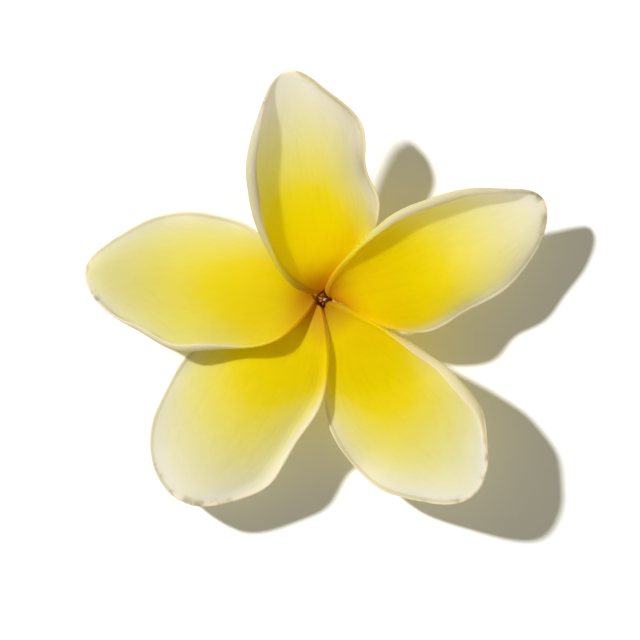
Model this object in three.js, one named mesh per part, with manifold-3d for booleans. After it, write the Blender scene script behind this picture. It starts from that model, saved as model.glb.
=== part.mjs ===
// Plumeria (frangipani) blossom, as picked: five waxy petals set like a pinwheel on a slender tube.
// Millimetres, +Z up. The blossom lies face up. It stands on the end of its tube and leans on the
// low edges of its left and lower left petals. The origin is the bottom centre of its box.
//
// Each petal is one thin blade. Its midrib leaves the throat steeply and then levels out, and every
// cross-section is two strips that start at the midrib: the over side lies on top of the next petal
// anticlockwise and rolls up at its rim, and the under side slips below the petal clockwise of it.

import * as THREE from 'three';
import { mergeVertices } from 'three/addons/utils/BufferGeometryUtils.js';
import Module from 'manifold-3d';

const DEGREE = Math.PI / 180;

// ---- The whole blossom ----
const LEAN = 16;                 // of the throat from upright, degrees
const LEAN_HEADING = -14;        // direction that the foot of the tube points to, degrees from +X

// ---- Petals: what all five share ----
const BLADE = 0.6;               // thickness of every petal
const THROAT_RADIUS = 1.55;      // of the ring where the midribs start
const BASE_RISE = 62;            // slope of a midrib at the throat, degrees
const BASE_FADE = 3.2;           // length along which that slope fades out
const BASE_TWIST = 40;           // tilt across the base, over side up, degrees
const TWIST_FADE = 3.2;          // length along which that tilt and the wrap fade out
const BASE_WRAP = 40;            // how far the over side of the base curves round the throat, degrees
const UNDER_WRAP = 2;            // the same for the under side
const BASE_HALF_WIDTH = 0.72;
const WIDTH_STATIONS = [0, 0.13, 0.33, 0.53, 0.73, 0.9, 1];
const TIP_WIDTH = 0.8;           // half width at the last station, as a share of the one before it
const TIP_FULLNESS = 8;          // higher is a blunter tip
const TIP_END = 0.9995;          // where the last row lies, as a fraction of the length
const SWELL_BIAS = 1.15;         // higher moves the fullest roll of a rim towards the tip
const SWELL_FULLNESS = 0.7;      // lower keeps the roll full over more of the length
const ROLL_START = 0.62;         // where across the over side its roll begins, at the tip
const ROLL_RISE = 0.12;          // how much closer to the rim it begins at the throat
const ROLL_EASE = 1.5;           // 1 is a roll of one radius; higher opens it where it begins
const DROP_SHARPNESS = 3;        // of the under side's dip; higher keeps it closer to the rim
const LIP_SHARPNESS = 8;         // the same for the lip of the under side
const RIPPLE = 9;                // wave of each rim, degrees
const RIPPLE_WAVES = 3.5;        // waves along a rim
const STEPS_ALONG = 32;
const MIDRIB_STEPS = 20;         // finer steps inside each step along
const STEPS_ACROSS = 10;         // on each side of the midrib
const ARC_STEPS = 8;             // finer steps inside each step across
const RIM_CLOSENESS = 1.7;       // higher sets the steps across closer together at the rim

// ---- Petals: what sets them apart ----
// heading and bend: direction of the midrib from +X, and how far it swings by the tip, degrees
// slope and tipSlope: of the midrib past the throat and at the tip, degrees
// twist and tipTwist: tilt of the cross-section, over side up, degrees
// over and under: half widths of the blade at the stations above, before the tip rounds off
// overCup and underCup: how far each side curves up towards its rim, degrees
// overRoll: extra curl of the over rim; underDrop: how far the under side dips before its lip;
// underLip: how far the lip turns up again, degrees
const PETALS = [
  {
    name: 'petal_top', heading: 97, bend: 3, length: 36.1, slope: 7, tipSlope: 11,
    twist: 11, tipTwist: 5, over: [7.1, 11.0, 12.3, 10.4, 7.1], under: [9.0, 12.4, 11.2, 11.5, 7.2],
    overCup: 14, overRoll: 215, underCup: -32, underDrop: 40, underLip: 60,
  },
  {
    name: 'petal_right', heading: 22, bend: 3, length: 38.8, slope: -10, tipSlope: -7,
    twist: 11, tipTwist: 8, over: [5.0, 9.6, 10.6, 9.2, 6.1], under: [6.8, 11.8, 11.5, 10.8, 8.6],
    overCup: 7, overRoll: 240, underCup: -10, underDrop: 50, underLip: 60,
  },
  {
    name: 'petal_lower_right', heading: -54, bend: 3, length: 39.8, slope: -17, tipSlope: 33,
    twist: 13, tipTwist: 6, over: [3.9, 9.0, 12.3, 12.9, 9.8], under: [3.0, 9.9, 12.4, 11.8, 8.2],
    overCup: 5, overRoll: 210, underCup: 0, underDrop: 10, underLip: -8,
  },
  {
    name: 'petal_lower_left', heading: -126, bend: 3, length: 39.1, slope: -18.4, tipSlope: 21,
    twist: 2, tipTwist: 11, over: [5.9, 9.9, 10.2, 11.0, 8.5], under: [4.8, 11.7, 13.4, 13.6, 12.4],
    overCup: -9, overRoll: 60, underCup: -38, underDrop: 0, underLip: 40,
  },
  {
    name: 'petal_left', heading: 173, bend: 0, length: 38.4, slope: -18.8, tipSlope: -6,
    twist: 3, tipTwist: 4, over: [8.5, 11.3, 13.3, 10.8, 8.1], under: [5.0, 10.6, 12.0, 11.3, 8.0],
    overCup: 5, overRoll: 165, underCup: -32, underDrop: 0, underLip: 45,
  },
];

// ---- Corolla tube ----
const TUBE_BORE = 1.15;          // inner radius
const TUBE_RADIUS = 1.9;         // outer radius
const TUBE_RIM_RADIUS = 2.6;     // outer radius of the rim under the petals
const TUBE_RIM_BORE = 1.35;      // inner radius of that rim
const TUBE_TOP = 1;              // depth of the rim below the throat
const TUBE_RIM_DEPTH = 2;        // over which the rim narrows to the tube
const TUBE_LENGTH = 10.2;        // along its bent centre line
const TUBE_END_LEAN = 70;        // from upright at its open end, degrees
const TUBE_SIDES = 28;
const TUBE_STEPS = 12;           // rings along each wall

// ---- Stamens, inside the tube ----
const STAMEN_COUNT = 5;
const ANTHER_TOP = 3.4;          // depth of the tips below the throat
const ANTHER_LENGTH = 2.6;
const ANTHER_RADIUS = 0.27;
const ANTHER_SPREAD = 0.42;      // distance of an anther's foot from the tube's centre line
const ANTHER_CLOSE = 0.16;       // the same at its tip
const ANTHER_SIDES = 8;
const ANTHER_STEPS = 5;          // rings along an anther
const ANTHER_BLUNT = 0.12;       // share of a half wave cut off the anther's profile at its foot
const ANTHER_SPAN = 0.8;         // share of a half wave in the anther's profile
const FILAMENT_RADIUS = 0.16;
const FILAMENT_SIDES = 6;
const COLLAR_DEPTH = 8.4;        // of the ring that joins the filaments
const COLLAR_RADIUS = 0.82;
const COLLAR_BORE = 0.35;
const COLLAR_HEIGHT = 0.7;

// ---- Surfaces ----

// Value at x of the smooth curve through the points (stations, values).
function smoothCurve(stations, values, x) {
  const last = stations.length - 1;
  let k = 0;
  while (k < last - 1 && x > stations[k + 1]) k += 1;
  const tangent = (i) => {
    const a = Math.max(i - 1, 0);
    const b = Math.min(i + 1, last);
    return (values[b] - values[a]) / (stations[b] - stations[a]);
  };
  const span = stations[k + 1] - stations[k];
  const t = (x - stations[k]) / span;
  const pull = (2 * t ** 3 - 3 * t ** 2 + 1) * values[k] + (3 * t ** 2 - 2 * t ** 3) * values[k + 1];
  const lead = (t ** 3 - 2 * t ** 2 + t) * span * tangent(k) + (t ** 3 - t ** 2) * span * tangent(k + 1);
  return pull + lead;
}

// Half width of one side at the fraction u of the length.
function halfWidth(widths, u) {
  const values = [BASE_HALF_WIDTH, ...widths, TIP_WIDTH * widths.at(-1)];
  return smoothCurve(WIDTH_STATIONS, values, u) * Math.sqrt(1 - u ** TIP_FULLNESS);
}

// Fraction of the length at the fraction t of the steps: close steps at the throat and at the tip.
function alongAt(t) {
  const even = (1 - Math.cos(Math.PI * t)) / 2;
  const tip = Math.sin((Math.PI / 2) * t);
  return (TIP_END * (even + tip)) / 2;
}

// Fraction of the half width at the fraction t of the steps: closer steps towards the rim.
function acrossAt(t) {
  return 1 - (1 - t) ** RIM_CLOSENESS;
}

// How fully the rims roll at the fraction u of the length: nothing at the throat and at the tip.
function rimSwell(u) {
  return Math.sin(Math.PI * u ** SWELL_BIAS) ** SWELL_FULLNESS;
}

// Rise of one side of a cross-section at the fraction q across, in degrees, seen from the midrib.
function sideAngle(petal, side, u, q) {
  const fade = Math.exp((-u * petal.length) / TWIST_FADE);
  const swell = rimSwell(u);
  const twist = petal.twist + (petal.tipTwist - petal.twist) * u ** 2 + (BASE_TWIST - petal.twist) * fade;
  const phase = (petal.heading + 90 * side) * DEGREE;
  const ripple = RIPPLE * swell * Math.sin(2 * Math.PI * RIPPLE_WAVES * u + phase) * q ** 4;
  const wrap = side > 0 ? BASE_WRAP : UNDER_WRAP;
  const common = side * twist + wrap * fade * q + ripple;
  const start = ROLL_START + ROLL_RISE * (1 - u);
  const rolled = (Math.max(0, q - start) / (1 - start)) ** ROLL_EASE;
  if (side > 0) return common + petal.overCup * q + petal.overRoll * swell * rolled;
  const drop = petal.underDrop * swell * q ** DROP_SHARPNESS;
  const lip = (petal.underDrop + petal.underLip) * swell * q ** LIP_SHARPNESS;
  return common + petal.underCup * q - drop + lip;
}

// The midrib as a list of stations, each with its place and the two axes of its cross-section.
function midrib(petal) {
  const place = throatRing(petal.heading);
  const stations = [];
  let before = 0;
  for (let i = 0; i <= STEPS_ALONG; i += 1) {
    const u = alongAt(i / STEPS_ALONG);
    const step = (u - before) / MIDRIB_STEPS;
    for (let k = 0; k < MIDRIB_STEPS; k += 1) {
      const direction = midribDirection(petal, before + step * (k + 0.5));
      place.addScaledVector(direction, step * petal.length);
    }
    before = u;
    const tangent = midribDirection(petal, u);
    const across = new THREE.Vector3(0, 0, 1).cross(tangent).normalize();
    stations.push({ u, place: place.clone(), across, up: tangent.clone().cross(across) });
  }
  return stations;
}

// Start of a midrib on the ring round the throat, which leans with the throat.
function throatRing(heading) {
  const towards = Math.cos((heading - LEAN_HEADING) * DEGREE);
  const place = new THREE.Vector3(Math.cos(heading * DEGREE), Math.sin(heading * DEGREE), 0);
  place.z = Math.tan(LEAN * DEGREE) * towards;
  return place.multiplyScalar(THROAT_RADIUS);
}

// Direction of a midrib at the fraction u of its length.
function midribDirection(petal, u) {
  const fade = Math.exp((-u * petal.length) / BASE_FADE);
  const rise = BASE_RISE + LEAN * Math.cos((petal.heading - LEAN_HEADING) * DEGREE);
  const slope = petal.slope + (rise - petal.slope) * fade + (petal.tipSlope - petal.slope) * u ** 3;
  const heading = (petal.heading + petal.bend * u) * DEGREE;
  const flat = Math.cos(slope * DEGREE);
  return new THREE.Vector3(flat * Math.cos(heading), flat * Math.sin(heading), Math.sin(slope * DEGREE));
}

// Points of one side of a cross-section, from the midrib to the rim.
function sidePoints(petal, side, station) {
  const width = halfWidth(side > 0 ? petal.over : petal.under, station.u);
  const points = [station.place.clone()];
  const place = station.place.clone();
  let before = 0;
  for (let j = 1; j <= STEPS_ACROSS; j += 1) {
    const q = acrossAt(j / STEPS_ACROSS);
    for (let k = 0; k < ARC_STEPS; k += 1) {
      const step = (q - before) / ARC_STEPS;
      const angle = sideAngle(petal, side, station.u, before + step * (k + 0.5)) * DEGREE;
      place.addScaledVector(station.across, side * Math.cos(angle) * step * width);
      place.addScaledVector(station.up, Math.sin(angle) * step * width);
    }
    before = q;
    points.push(place.clone());
  }
  return points;
}

// Middle surface of a petal: rows from the throat to the tip, each from the under rim to the over rim.
function petalSurface(petal) {
  return midrib(petal).map((station) => {
    const under = sidePoints(petal, -1, station).reverse();
    const over = sidePoints(petal, 1, station).slice(1);
    return [...under, ...over];
  });
}

// ---- Solids ----

// A mesh from a list of points and a list of triangles, each three indices of points.
function solid(points, triangles) {
  const geometry = new THREE.BufferGeometry();
  const numbers = points.flatMap((point) => point.toArray());
  geometry.setAttribute('position', new THREE.Float32BufferAttribute(numbers, 3));
  geometry.setIndex(triangles.flat());
  return geometry;
}

// A blade of even thickness about its middle surface, closed round its rim.
function bladeSolid(rows, thickness) {
  const high = rows.length - 1;
  const wide = rows[0].length - 1;
  const normalAt = (i, j) => {
    const along = rows[Math.min(i + 1, high)][j].clone().sub(rows[Math.max(i - 1, 0)][j]);
    const across = rows[i][Math.min(j + 1, wide)].clone().sub(rows[i][Math.max(j - 1, 0)]);
    return along.cross(across).normalize();
  };
  const points = [];
  for (const offset of [thickness / 2, -thickness / 2]) {
    rows.forEach((row, i) => row.forEach((point, j) => {
      points.push(point.clone().addScaledVector(normalAt(i, j), offset));
    }));
  }
  const top = (i, j) => i * (wide + 1) + j;
  const bottom = (i, j) => top(i, j) + (high + 1) * (wide + 1);
  const triangles = [];
  for (let i = 0; i < high; i += 1) {
    for (let j = 0; j < wide; j += 1) {
      triangles.push([top(i, j), top(i + 1, j), top(i + 1, j + 1)]);
      triangles.push([top(i, j), top(i + 1, j + 1), top(i, j + 1)]);
      triangles.push([bottom(i, j), bottom(i + 1, j + 1), bottom(i + 1, j)]);
      triangles.push([bottom(i, j), bottom(i, j + 1), bottom(i + 1, j + 1)]);
    }
  }
  const rim = [];
  for (let j = 0; j < wide; j += 1) rim.push([0, j]);
  for (let i = 0; i < high; i += 1) rim.push([i, wide]);
  for (let j = wide; j > 0; j -= 1) rim.push([high, j]);
  for (let i = high; i > 0; i -= 1) rim.push([i, 0]);
  rim.forEach(([i, j], k) => {
    const [m, n] = rim[(k + 1) % rim.length];
    triangles.push([top(i, j), top(m, n), bottom(m, n)]);
    triangles.push([top(i, j), bottom(m, n), bottom(i, j)]);
  });
  return solid(points, triangles);
}

// Centre line of the tube at a depth along it: place and the two axes of its round section.
function tubeFrame(depth) {
  const turn = ((TUBE_END_LEAN - LEAN) * DEGREE) / TUBE_LENGTH;
  const start = LEAN * DEGREE;
  const lean = start + turn * depth;
  const out = (Math.cos(start) - Math.cos(lean)) / turn;
  const down = (Math.sin(lean) - Math.sin(start)) / turn;
  const heading = new THREE.Vector3(Math.cos(LEAN_HEADING * DEGREE), Math.sin(LEAN_HEADING * DEGREE), 0);
  const place = heading.clone().multiplyScalar(out).add(new THREE.Vector3(0, 0, -down));
  const outward = heading.clone().multiplyScalar(Math.cos(lean)).add(new THREE.Vector3(0, 0, Math.sin(lean)));
  const sideways = new THREE.Vector3(0, 0, 1).cross(heading);
  return { place, outward, sideways };
}

// A round wall along the tube's centre line. The profile, pairs of radius and depth, closes on itself.
function tubeWall(profile, sides) {
  const points = [];
  for (const [radius, depth] of profile) {
    const { place, outward, sideways } = tubeFrame(depth);
    for (let k = 0; k < sides; k += 1) {
      const angle = (2 * Math.PI * k) / sides;
      const point = place.clone().addScaledVector(outward, radius * Math.cos(angle));
      points.push(point.addScaledVector(sideways, radius * Math.sin(angle)));
    }
  }
  const triangles = [];
  profile.forEach((_, i) => {
    const next = (i + 1) % profile.length;
    for (let k = 0; k < sides; k += 1) {
      const m = (k + 1) % sides;
      triangles.push([i * sides + k, next * sides + k, next * sides + m]);
      triangles.push([i * sides + k, next * sides + m, i * sides + m]);
    }
  });
  return solid(points, triangles);
}

// The tube: a flared rim under the petals, then an even wall to its open end.
function corollaTube() {
  const outer = [[TUBE_RIM_RADIUS, TUBE_TOP]];
  const inner = [];
  for (let i = 0; i <= TUBE_STEPS; i += 1) {
    const depth = TUBE_TOP + TUBE_RIM_DEPTH + ((TUBE_LENGTH - TUBE_TOP - TUBE_RIM_DEPTH) * i) / TUBE_STEPS;
    outer.push([TUBE_RADIUS, depth]);
    inner.unshift([TUBE_BORE, depth]);
  }
  return tubeWall([...outer, ...inner, [TUBE_RIM_BORE, TUBE_TOP]], TUBE_SIDES);
}

// ---- Stamens ----

const wasm = await Module();
wasm.setup();

// A closed mesh as a solid that can be joined to others.
function toManifold(geometry) {
  const plain = geometry.clone();
  plain.deleteAttribute('normal');
  plain.deleteAttribute('uv');
  const merged = mergeVertices(plain, 1e-5);
  return new wasm.Manifold(new wasm.Mesh({
    numProp: 3,
    vertProperties: merged.attributes.position.array,
    triVerts: Uint32Array.from(merged.index.array),
  }));
}

// The mesh of a joined solid.
function fromManifold(body) {
  const mesh = body.getMesh();
  const geometry = new THREE.BufferGeometry();
  geometry.setAttribute('position', new THREE.BufferAttribute(mesh.vertProperties, 3));
  geometry.setIndex(new THREE.BufferAttribute(mesh.triVerts, 1));
  return geometry;
}

// Place on the tube's centre line at a depth, moved sideways by a distance in a direction round it.
function besideCentre(depth, distance, angle) {
  const { place, outward, sideways } = tubeFrame(depth);
  place.addScaledVector(outward, distance * Math.cos(angle));
  return place.addScaledVector(sideways, distance * Math.sin(angle));
}

// A tapered round rod through the given places, with a radius at each, closed at both ends.
function rod(places, radii, sides) {
  const points = [places[0]];
  places.forEach((place, i) => {
    const along = places[Math.min(i + 1, places.length - 1)].clone().sub(places[Math.max(i - 1, 0)]);
    const first = new THREE.Vector3(0, 1, 0).cross(along).normalize();
    const second = along.normalize().cross(first);
    for (let k = 0; k < sides; k += 1) {
      const angle = (2 * Math.PI * k) / sides;
      const point = place.clone().addScaledVector(first, radii[i] * Math.cos(angle));
      points.push(point.addScaledVector(second, radii[i] * Math.sin(angle)));
    }
  });
  points.push(places.at(-1));
  const end = points.length - 1;
  const triangles = [];
  for (let k = 0; k < sides; k += 1) {
    const m = (k + 1) % sides;
    triangles.push([0, 1 + m, 1 + k]);
    triangles.push([end, end - sides + k, end - sides + m]);
    for (let i = 0; i < places.length - 1; i += 1) {
      const low = 1 + i * sides;
      triangles.push([low + k, low + m, low + sides + m]);
      triangles.push([low + k, low + sides + m, low + sides + k]);
    }
  }
  return solid(points, triangles);
}

// Five anthers whose tips lean together, each on a filament, and the ring that the filaments rise from.
function stamens() {
  const collarTop = COLLAR_DEPTH;
  const collarFoot = COLLAR_DEPTH + COLLAR_HEIGHT;
  const collar = [
    [COLLAR_RADIUS, collarTop], [COLLAR_RADIUS, collarFoot],
    [COLLAR_BORE, collarFoot], [COLLAR_BORE, collarTop],
  ];
  let body = toManifold(tubeWall(collar, TUBE_SIDES));
  const seat = (COLLAR_RADIUS + COLLAR_BORE) / 2;
  for (let n = 0; n < STAMEN_COUNT; n += 1) {
    const angle = (2 * Math.PI * n) / STAMEN_COUNT;
    const foot = ANTHER_TOP + ANTHER_LENGTH;
    const filament = rod(
      [
        besideCentre(collarFoot - COLLAR_HEIGHT / 2, seat, angle),
        besideCentre((collarTop + foot) / 2, (seat + ANTHER_SPREAD) / 2, angle),
        besideCentre(foot - ANTHER_LENGTH / 4, ANTHER_SPREAD, angle),
      ],
      [FILAMENT_RADIUS, FILAMENT_RADIUS, FILAMENT_RADIUS],
      FILAMENT_SIDES,
    );
    const places = [];
    const radii = [];
    for (let i = 0; i <= ANTHER_STEPS; i += 1) {
      const t = i / ANTHER_STEPS;
      const spread = ANTHER_SPREAD + (ANTHER_CLOSE - ANTHER_SPREAD) * t;
      places.push(besideCentre(foot - ANTHER_LENGTH * t, spread, angle));
      radii.push(ANTHER_RADIUS * Math.sin(Math.PI * (ANTHER_BLUNT + ANTHER_SPAN * t)));
    }
    body = body.add(toManifold(filament)).add(toManifold(rod(places, radii, ANTHER_SIDES)));
  }
  return fromManifold(body);
}

// ---- The blossom ----

const PETAL_FINISH = { color: '#e9d24a', roughness: 0.55, metalness: 0 };
const TUBE_FINISH = { color: '#dfe0b4', roughness: 0.55, metalness: 0 };
const STAMEN_FINISH = { color: '#e8cf8e', roughness: 0.7, metalness: 0 };

const blossom = new THREE.Group();

// Adds one named piece of the blossom.
function addPiece(name, geometry, finish) {
  const mesh = new THREE.Mesh(geometry, new THREE.MeshStandardMaterial(finish));
  mesh.name = name;
  blossom.add(mesh);
}

for (const petal of PETALS) {
  addPiece(petal.name, bladeSolid(petalSurface(petal), BLADE), PETAL_FINISH);
}
addPiece('corolla_tube', corollaTube(), TUBE_FINISH);
addPiece('stamens', stamens(), STAMEN_FINISH);

const box = new THREE.Box3().setFromObject(blossom, true);
const centre = box.getCenter(new THREE.Vector3());
blossom.position.set(-centre.x, -centre.y, -box.min.z);

const plumeria = new THREE.Group();
plumeria.add(blossom);

export default plumeria;
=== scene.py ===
"""Looks of a plumeria (frangipani) blossom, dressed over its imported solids.

Everything is in metres, +Z up, in the frame of the solids; sizes in the classes are in millimetres
and degrees, as a grower or a maker would state them. The blossom is five waxy petals set like a
pinwheel round a narrow throat, on a slender bent tube with the anthers inside it.
"""

import sys

import logging
import math
from dataclasses import dataclass
from enum import Enum
from functools import reduce

import bpy
import numpy as np
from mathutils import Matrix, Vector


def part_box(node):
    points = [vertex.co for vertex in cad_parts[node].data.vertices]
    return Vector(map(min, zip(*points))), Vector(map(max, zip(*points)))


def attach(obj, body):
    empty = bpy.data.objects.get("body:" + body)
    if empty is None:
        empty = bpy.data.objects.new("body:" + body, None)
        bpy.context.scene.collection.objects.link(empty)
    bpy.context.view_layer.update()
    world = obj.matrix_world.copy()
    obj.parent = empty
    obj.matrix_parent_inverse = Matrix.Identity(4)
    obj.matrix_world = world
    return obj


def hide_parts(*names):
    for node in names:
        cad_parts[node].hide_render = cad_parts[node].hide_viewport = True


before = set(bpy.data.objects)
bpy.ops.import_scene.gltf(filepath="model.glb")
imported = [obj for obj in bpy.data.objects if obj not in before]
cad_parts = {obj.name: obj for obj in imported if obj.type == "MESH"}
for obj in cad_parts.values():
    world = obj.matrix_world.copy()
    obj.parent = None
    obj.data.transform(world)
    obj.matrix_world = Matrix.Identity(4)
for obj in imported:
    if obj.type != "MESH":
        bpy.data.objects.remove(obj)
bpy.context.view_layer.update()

MM = 0.001
DEGREE = math.pi / 180
LOG = logging.getLogger("plumeria")

Tree = bpy.types.NodeTree
Node = bpy.types.Node
Socket = bpy.types.NodeSocket
Sockets = bpy.types.bpy_prop_collection
Thing = bpy.types.Object
Material = bpy.types.Material


class Slot(Enum):
    """Material slots of the record that the pieces take their finish from."""

    PETAL = "petal"
    TUBE = "tube"
    STAMEN = "stamen"


class Side(Enum):
    """Half of a petal: OVER lies on the next petal anticlockwise, UNDER below the one clockwise."""

    OVER = 1
    UNDER = -1


# ---- Small tools ----


def linear(code: str) -> tuple[float, float, float, float]:
    """Turns an sRGB hex colour into linear light.

    Args:
        code: Colour such as "#e8ca04".

    Returns:
        Red, green, blue and alpha, from 0 to 1.
    """
    shares = [int(code[i : i + 2], 16) / 255 for i in (1, 3, 5)]
    light = [s / 12.92 if s <= 0.04045 else ((s + 0.055) / 1.055) ** 2.4 for s in shares]
    return (light[0], light[1], light[2], 1.0)


def put(tree: Tree, kind: str, feeds: list | dict | None = None, **settings: object) -> Node:
    """Adds a node to a tree, with its settings and what feeds its inputs.

    Args:
        tree: Node tree of a material, a world or a modifier.
        kind: Type of the node.
        feeds: Values, sockets or nodes for the inputs, in order or by name.
        settings: The node's own settings; stops are a colour ramp's pairs of position and hex colour.

    Returns:
        The new node.
    """
    node = tree.nodes.new(kind)
    stops = settings.pop("stops", None)
    for name, value in settings.items():
        setattr(node, name, value)
    if stops:
        ramp = node.color_ramp
        while len(ramp.elements) < len(stops):
            ramp.elements.new(1.0)
        for element, (position, code) in zip(ramp.elements, stops):
            element.position = position
            element.color = linear(code)
    pairs = feeds.items() if isinstance(feeds, dict) else enumerate(feeds or [])
    for key, value in pairs:
        if isinstance(value, Node):
            value = value.outputs[0]
        if isinstance(value, Socket):
            tree.links.new(value, node.inputs[key])
        else:
            node.inputs[key].default_value = value
    return node


def place_object(name: str, data: bpy.types.ID) -> Thing:
    """Makes an object of a mesh, a lamp or a camera and links it to the scene.

    Args:
        name: Name of the object.
        data: What it holds.

    Returns:
        The object.
    """
    thing = bpy.data.objects.new(name, data)
    bpy.context.scene.collection.objects.link(thing)
    return thing


def mesh_object(name: str, points: np.ndarray, faces: list, edges: list | None = None) -> Thing:
    """Makes a mesh object whose place is in its mesh.

    Args:
        name: Name of the object and its mesh.
        points: Corners, one row each, in metres.
        faces: Lists of corner numbers.
        edges: Pairs of corner numbers, for a mesh with no faces.

    Returns:
        The object, linked to the scene.
    """
    mesh = bpy.data.meshes.new(name)
    mesh.from_pydata(points.tolist(), edges or [], faces)
    mesh.update()
    return place_object(name, mesh)


def mark(thing: Thing, name: str, values: np.ndarray) -> None:
    """Stores one number for each corner of a mesh, for its nodes to read."""
    layer = thing.data.attributes.new(name, "FLOAT", "POINT")
    layer.data.foreach_set("value", values.astype(np.float32).ravel())


def settle(thing: Thing, tree: Tree, values: dict[str, object]) -> Thing:
    """Runs a Geometry Nodes tree on an object and keeps the result as its plain mesh.

    Args:
        thing: Object that the tree works on.
        tree: The tree.
        values: What to set the tree's named inputs to.

    Returns:
        The same object, with its new mesh and no modifier.
    """
    modifier = thing.modifiers.new(tree.name, "NODES")
    modifier.node_group = tree
    sockets = {item.name: item.identifier for item in tree.interface.items_tree if item.in_out == "INPUT"}
    for name, value in values.items():
        modifier[sockets[name]] = value
    graph = bpy.context.evaluated_depsgraph_get()
    grown = thing.evaluated_get(graph)
    mesh = bpy.data.meshes.new_from_object(grown, preserve_all_data_layers=True, depsgraph=graph)
    thing.modifiers.clear()
    thing.data = mesh
    mesh.name = thing.name
    return thing


def finish_piece(thing: Thing, nodes: tuple[str, ...] = ()) -> Thing:
    """Hands a finished piece to the frame and reports it.

    Args:
        thing: The piece, its place in its mesh.
        nodes: Solids that it stands for.

    Returns:
        The piece.
    """
    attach(thing, "root")
    if nodes:
        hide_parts(*nodes)
    triangles = sum(len(face.vertices) - 2 for face in thing.data.polygons)
    LOG.info("%s: %d triangles", thing.name, triangles)
    return thing


def new_tree(name: str, sizes: dict[str, float]) -> tuple[Tree, Node, Node]:
    """Starts a Geometry Nodes tree with a geometry input, named sizes, a seed and a material.

    Args:
        name: Name of the tree.
        sizes: Named float inputs with their values.

    Returns:
        The tree, its input node and its output node.
    """
    tree = bpy.data.node_groups.new(name, "GeometryNodeTree")
    socket = tree.interface.new_socket
    socket("Geometry", in_out="INPUT", socket_type="NodeSocketGeometry")
    for key, value in sizes.items():
        socket(key, in_out="INPUT", socket_type="NodeSocketFloat").default_value = value
    socket("Seed", in_out="INPUT", socket_type="NodeSocketInt")
    socket("Material", in_out="INPUT", socket_type="NodeSocketMaterial")
    socket("Geometry", in_out="OUTPUT", socket_type="NodeSocketGeometry")
    return tree, put(tree, "NodeGroupInput"), put(tree, "NodeGroupOutput")


def close_tree(tree: Tree, shape: Node, start: Node, end: Node) -> None:
    """Ends a tree with smooth shading, Realize Instances and Set Material.

    Args:
        tree: The tree.
        shape: Node that gives the finished shape.
        start: Input node of the tree.
        end: Its output node.
    """
    smooth = put(tree, "GeometryNodeSetShadeSmooth", [shape])
    real = put(tree, "GeometryNodeRealizeInstances", [smooth])
    feeds = {"Geometry": real, "Material": start.outputs["Material"]}
    tree.links.new(put(tree, "GeometryNodeSetMaterial", feeds).outputs[0], end.inputs[0])


def named_value(tree: Tree, name: str) -> Socket:
    """Reads one of the marks on a mesh, for Geometry Nodes."""
    return put(tree, "GeometryNodeInputNamedAttribute", {"Name": name}, data_type="FLOAT").outputs[0]


def store(tree: Tree, shape: object, name: str, value: object) -> Node:
    """Stores a mark on a shape within a tree."""
    feeds = {"Geometry": shape, "Name": name, "Value": value}
    return put(tree, "GeometryNodeStoreNamedAttribute", feeds, data_type="FLOAT")


def new_material(name: str) -> tuple[Material, Tree]:
    """Starts a material with an empty tree.

    Args:
        name: Name of the material.

    Returns:
        The material and its tree.
    """
    material = bpy.data.materials.new(name)
    material.use_nodes = True
    material.node_tree.nodes.clear()
    return material, material.node_tree


def reading(tree: Tree, name: str) -> Socket:
    """Reads one of the marks on a mesh, for a material."""
    return put(tree, "ShaderNodeAttribute", attribute_name=name).outputs["Fac"]


def maths(tree: Tree, operation: str, *values: object) -> Socket:
    """Result of a Math node."""
    return put(tree, "ShaderNodeMath", list(values), operation=operation).outputs[0]


def times(tree: Tree, first: object, *others: object) -> Socket:
    """Product of numbers, multiplied one after another."""
    return reduce(lambda product, other: maths(tree, "MULTIPLY", product, other), others, first)


def eased(tree: Tree, value: Socket, low: object, high: object, *ends: object) -> Socket:
    """Smooth step as a value goes from low to high, from 0 to 1 or between the given ends."""
    feeds = [value, low, high, *ends]
    return put(tree, "ShaderNodeMapRange", feeds, interpolation_type="SMOOTHSTEP").outputs[0]


def noise(tree: Tree, place: object, scale: float, detail: float = 2.0) -> Socket:
    """Value of a Noise Texture."""
    return put(tree, "ShaderNodeTexNoise", {"Vector": place, "Scale": scale, "Detail": detail}).outputs[0]


def blend(tree: Tree, share: object, first: object, second: object, kind: str = "MIX") -> Socket:
    """Mixes two colours.

    Args:
        tree: Node tree of a material.
        share: Share of the second colour.
        first: A hex colour, or what gives one.
        second: The other.
        kind: Way of blending.

    Returns:
        The mixed colour.
    """
    a, b = (linear(colour) if isinstance(colour, str) else colour for colour in (first, second))
    return put(tree, "ShaderNodeMix", {0: share, 6: a, 7: b}, data_type="RGBA", blend_type=kind).outputs[2]


def bumped(tree: Tree, strength: float, depth: float, height: Socket) -> Socket:
    """Normal of a skin with a fine relief, its depth in millimetres."""
    feeds = {"Strength": strength, "Distance": depth * MM, "Height": height}
    return put(tree, "ShaderNodeBump", feeds).outputs[0]


def band_faces(rings: int, around: int, closed: bool) -> list[list[int]]:
    """Faces between rings of points.

    Args:
        rings: Number of rings.
        around: Points in each, which is closed on itself.
        closed: Whether the last ring joins the first.

    Returns:
        Lists of four corner numbers.
    """
    faces = []
    for i in range(rings if closed else rings - 1):
        low, high = i * around, (i + 1) % rings * around
        for k in range(around):
            m = (k + 1) % around
            faces.append([low + k, low + m, high + m, high + k])
    return faces


# ---- Finishes ----


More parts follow.
